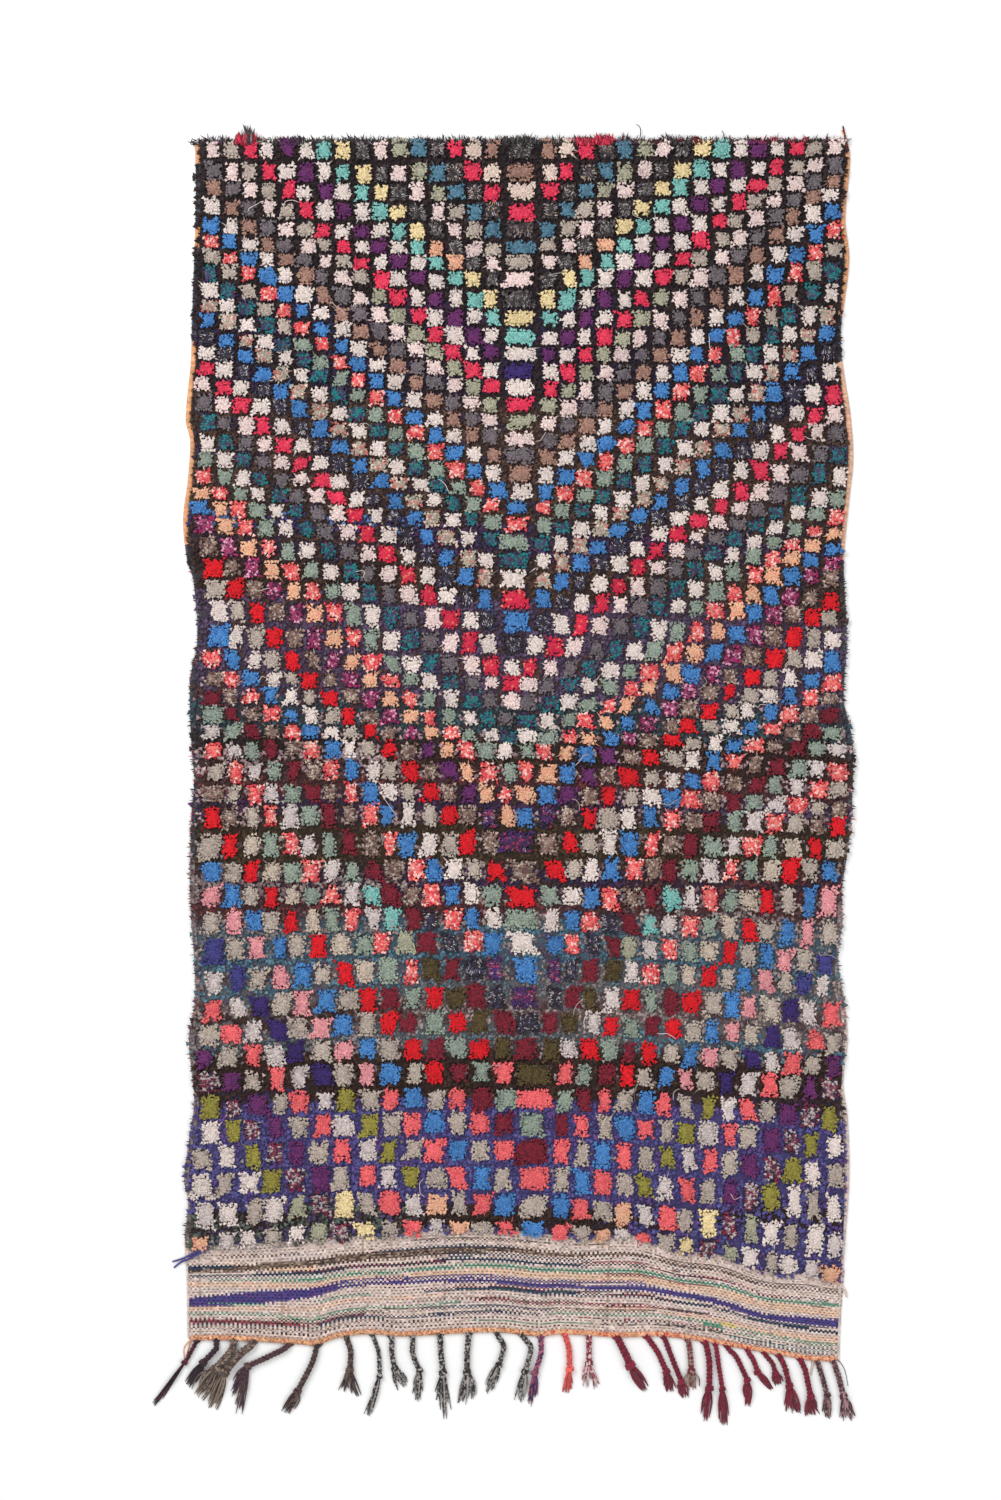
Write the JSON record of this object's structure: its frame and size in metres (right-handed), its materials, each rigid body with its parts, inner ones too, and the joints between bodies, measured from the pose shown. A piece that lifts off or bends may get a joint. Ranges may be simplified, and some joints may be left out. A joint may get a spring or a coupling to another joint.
{
  "type": "boucherouite rug",
  "caption": "Long shag rug knotted from mixed yarns in mirrored chevrons of small squares, with a striped flat-woven end, overcast edges and a knotted tassel fringe.",
  "frame": {"origin": "on the surface below the middle of the rug's whole extent, tassels included", "axes": "+Z up, out of the pile; +Y along the rug from the tasselled flat-woven end to the frayed end; +X across it, to the right when seen from above with +Y up"},
  "size_m": [1.6022, 2.978, 0.0227],
  "materials": {
    "ground_yarn": "weft-faced flat weave in wool and cotton, thin stripes",
    "pile_yarn": "cut shag of mixed wool, cotton and rag yarns, matt and fuzzy",
    "selvedge_yarn": "overcast wool yarn, matt",
    "fringe_yarn": "plied wool cords with frayed ends, matt"
  },
  "bodies": {
    "root": {"ground_weave": "ground_yarn", "knotted_pile": "pile_yarn", "selvedge_left": "selvedge_yarn", "selvedge_right": "selvedge_yarn", "twined_fringe": "fringe_yarn"}
  },
  "joints": []
}
